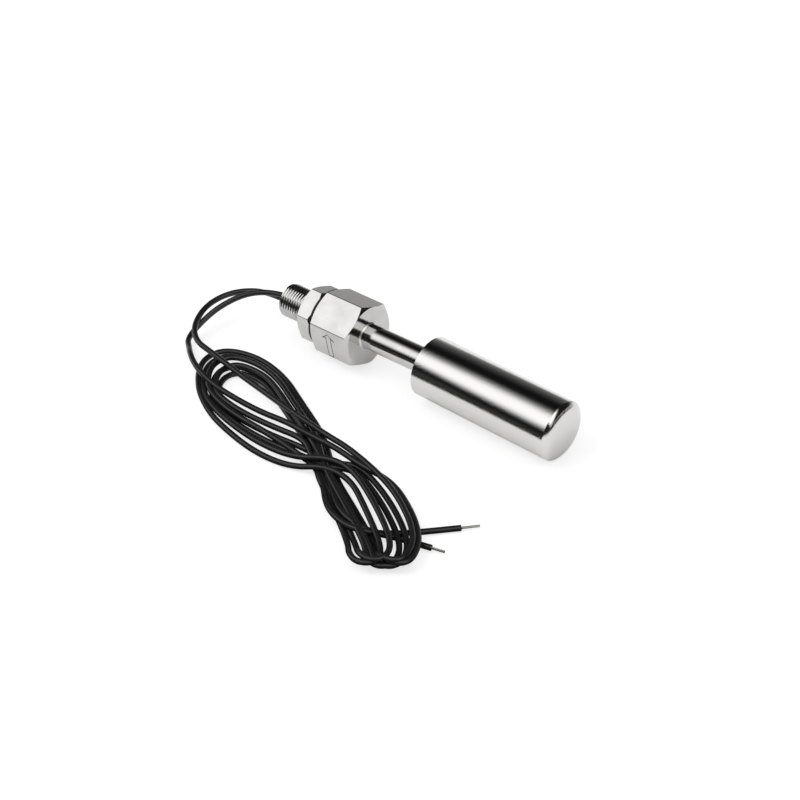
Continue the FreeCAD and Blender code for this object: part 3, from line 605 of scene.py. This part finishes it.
def grained_material(name, colour, roughness, grain_size, ior=None):
    """An opaque material with a fine even grain, its size in millimetres; a metal unless
    it is given an IOR."""
    material, shader = new_material(name)
    shader.inputs["Base Color"].default_value = hex_colour(colour)
    if ior:
        shader.inputs["IOR"].default_value = ior
    else:
        shader.inputs["Metallic"].default_value = 1
    tree = material.node_tree
    place = add_node(tree, "ShaderNodeTexCoord")
    grain = add_node(tree, "ShaderNodeTexNoise", Vector=place.outputs["Object"],
                     Scale=1 / (grain_size * MM), Detail=2)
    matt = add_node(tree, "ShaderNodeMapRange", Value=grain.outputs["Fac"],
                    _3=roughness * 0.8, _4=roughness * 1.2)
    relief = add_node(tree, "ShaderNodeBump", Height=grain.outputs["Fac"],
                      Strength=0.2, Distance=0.02 * MM)
    tree.links.new(matt.outputs["Result"], shader.inputs["Roughness"])
    tree.links.new(relief.outputs["Normal"], shader.inputs["Normal"])
    return material


# Rolled nickel-iron blades: satin, yellowish grey.
reed_alloy = grained_material("nickel_iron_reed", "#b9b4a8", 0.25, 0.3)
finish_nodes(reed_alloy, "reed_blade_near", "reed_blade_far")
# Moulded PBT: off-white, with the satin skin of a spark-eroded mould.
carrier_pbt = grained_material("moulded_pbt", "#e6e2d6", 0.4, 0.5, ior=1.55)
finish_nodes(carrier_pbt, "reed_carrier")
# Shrunk polyolefin sleeve: black with a dull, slightly uneven skin.
sleeve = grained_material("heat_shrink_sleeve", "#1c1c1e", 0.5, 0.3, ior=1.5)
finish_nodes(sleeve, "splice_a", "splice_b")
# Cast epoxy: black and fairly glossy, with a slow swell where it set.
epoxy = grained_material("cast_epoxy_resin", "#171716", 0.3, 1.5, ior=1.55)
finish_nodes(epoxy, "potting_plug")
# Extruded PVC over the inner wires: white with a satin skin.
white_pvc = grained_material("white_pvc_hookup_wire", "#e4e2dc", 0.4, 0.4, ior=1.53)
finish_nodes(white_pvc, "inner_wire_a", "inner_wire_b")
# Nickel plating on the magnet: bright, warm grey.
nickel = grained_material("nickel_plated_magnet", "#c4c1ba", 0.25, 0.4)
finish_nodes(nickel, "magnet")

# ---------------------------------------------------------------- studio
# A white table in a white room, lit by the room and by one large softbox in front on the
# left. Reflections don't show that white room but another one: bands of light and shade that
# run along the switch, and a black card on the table.

# Matt white laminate; a glow that only the camera sees lifts it towards white.
laminate, shader = new_material("white_table_laminate")
shader.inputs["Base Color"].default_value = hex_colour("#e6e6e6")
shader.inputs["Roughness"].default_value = 0.9
shader.inputs["Specular IOR Level"].default_value = 0.1
sheet = laminate.node_tree
rays = add_node(sheet, "ShaderNodeLightPath")
lift = add_node(sheet, "ShaderNodeMath", {"operation": "MULTIPLY"},
                _0=rays.outputs["Is Camera Ray"], _1=0.6)
glow = add_node(sheet, "ShaderNodeEmission", Strength=1.15)
both = add_node(sheet, "ShaderNodeMixShader", _0=lift.outputs["Value"],
                _1=shader.outputs["BSDF"], _2=glow.outputs["Emission"])
sheet.links.new(both.outputs["Shader"], sheet.nodes["Material Output"].inputs["Surface"])


def studio_sheet(name, corners, height, material):
    """A flat sheet of the studio, lying at a height in metres."""
    mesh = bmesh.new()
    mesh.faces.new([mesh.verts.new((x, y, height)) for x, y in corners])
    data = bpy.data.meshes.new(name)
    mesh.to_mesh(data)
    mesh.free()
    data.materials.append(material)
    laid = bpy.data.objects.new(name, data)
    scene.collection.objects.link(laid)
    return laid


floor = studio_sheet("floor", [(-0.7, -0.5), (0.7, -0.5), (0.7, 0.7), (-0.7, 0.7)], 0, laminate)

# Black card, which only reflections show.
black_card, shader = new_material("black_card")
shader.inputs["Base Color"].default_value = hex_colour("#0a0a0a")
shader.inputs["Roughness"].default_value = 1
card = studio_sheet("flag", [(-0.7, -0.6), (0.7, -0.6), (0.7, 0.3), (0.16, 0.3),
                             (0.16, -0.064), (-0.7, -0.064)], 0.0002, black_card)
card.visible_camera = card.visible_diffuse = card.visible_shadow = False

world = scene.world or bpy.data.worlds.new("studio")
scene.world = world
world.use_nodes = True
room = world.node_tree
room.nodes.clear()
place = add_node(room, "ShaderNodeTexCoord")
parts = add_node(room, "ShaderNodeSeparateXYZ", Vector=place.outputs["Generated"])
height_angle = add_node(room, "ShaderNodeMath", {"operation": "ARCTAN2"},
                        _0=parts.outputs["Z"], _1=parts.outputs["Y"])
whole_turn = add_node(room, "ShaderNodeMath", {"operation": "WRAP"},
                      _0=height_angle.outputs["Value"], _1=2 * math.pi, _2=0.0)
share = add_node(room, "ShaderNodeMath", {"operation": "DIVIDE"},
                 _0=whole_turn.outputs["Value"], _1=2 * math.pi)
# How bright metal sees the room: an angle in degrees, from the back wall at 0 over the
# ceiling at 90 to the front wall at 180, and the strength there.
bands = [(0, 0.32), (11, 0.18), (22, 0.10), (33, 0.06), (41, 0.035), (48, 0.018),
         (56, 0.008), (74, 0.008), (80, 0.03), (86, 0.12), (92, 0.28), (98, 0.55),
         (104, 0.9), (112, 1.25), (122, 1.35), (138, 1.35), (144, 1.2), (150, 0.95),
         (155, 0.55), (160, 0.22), (165, 0.05), (171, 0.008), (200, 0.02), (206, 0.10),
         (214, 0.6), (345, 0.8)]
# Towards the float's front end only a strip of light shows over a dark wall.
front_bands = [(0, 0.02), (40, 0.012), (60, 0.012), (66, 1.4), (128, 1.4), (134, 0.012),
               (205, 0.012), (215, 0.6), (345, 0.8)]


def room_ramp(levels):
    """Brightness of the room by its angle over the surface."""
    ramp = add_node(room, "ShaderNodeValToRGB", Fac=share.outputs["Value"])
    steps = ramp.color_ramp.elements
    while len(steps) < len(levels):
        steps.new(0.5)
    for step, (angle, level) in zip(steps, levels):
        step.position = angle / 360
        step.color = (level, level, level, 1)
    return ramp.outputs["Color"]


forward = add_node(room, "ShaderNodeMapRange", Value=parts.outputs["X"], _1=0.3, _2=0.45)
around = add_node(room, "ShaderNodeMix", {"data_type": "RGBA"}, Factor=forward.outputs["Result"],
                  _6=room_ramp(bands), _7=room_ramp(front_bands))
# Camera rays and diffuse rays see a plain white room, all other rays see the bands.
rays = add_node(room, "ShaderNodeLightPath")
plain = add_node(room, "ShaderNodeMath", {"operation": "MAXIMUM"},
                 _0=rays.outputs["Is Camera Ray"], _1=rays.outputs["Is Diffuse Ray"])
seen = add_node(room, "ShaderNodeMix", {"data_type": "RGBA"}, Factor=plain.outputs["Value"],
                _6=around.outputs[2], _7=(1, 1, 1, 1))
backdrop = add_node(room, "ShaderNodeBackground", Color=seen.outputs[2], Strength=1.0)
add_node(room, "ShaderNodeOutputWorld", Surface=backdrop.outputs["Background"])

# The softbox shades the leads and the table; metal sees it as the brightest band instead.
lamp = bpy.data.objects.new("softbox", bpy.data.lights.new("softbox", "AREA"))
lamp.data.energy = 8
lamp.data.size = 0.9
lamp.visible_glossy = False
lamp.location = (-0.5, -0.7, 1.1)
lamp.rotation_euler = Vector((0.5, 0.7, -1.1)).to_track_quat("-Z", "Y").to_euler()
scene.collection.objects.link(lamp)
scene.view_settings.view_transform = "Standard"
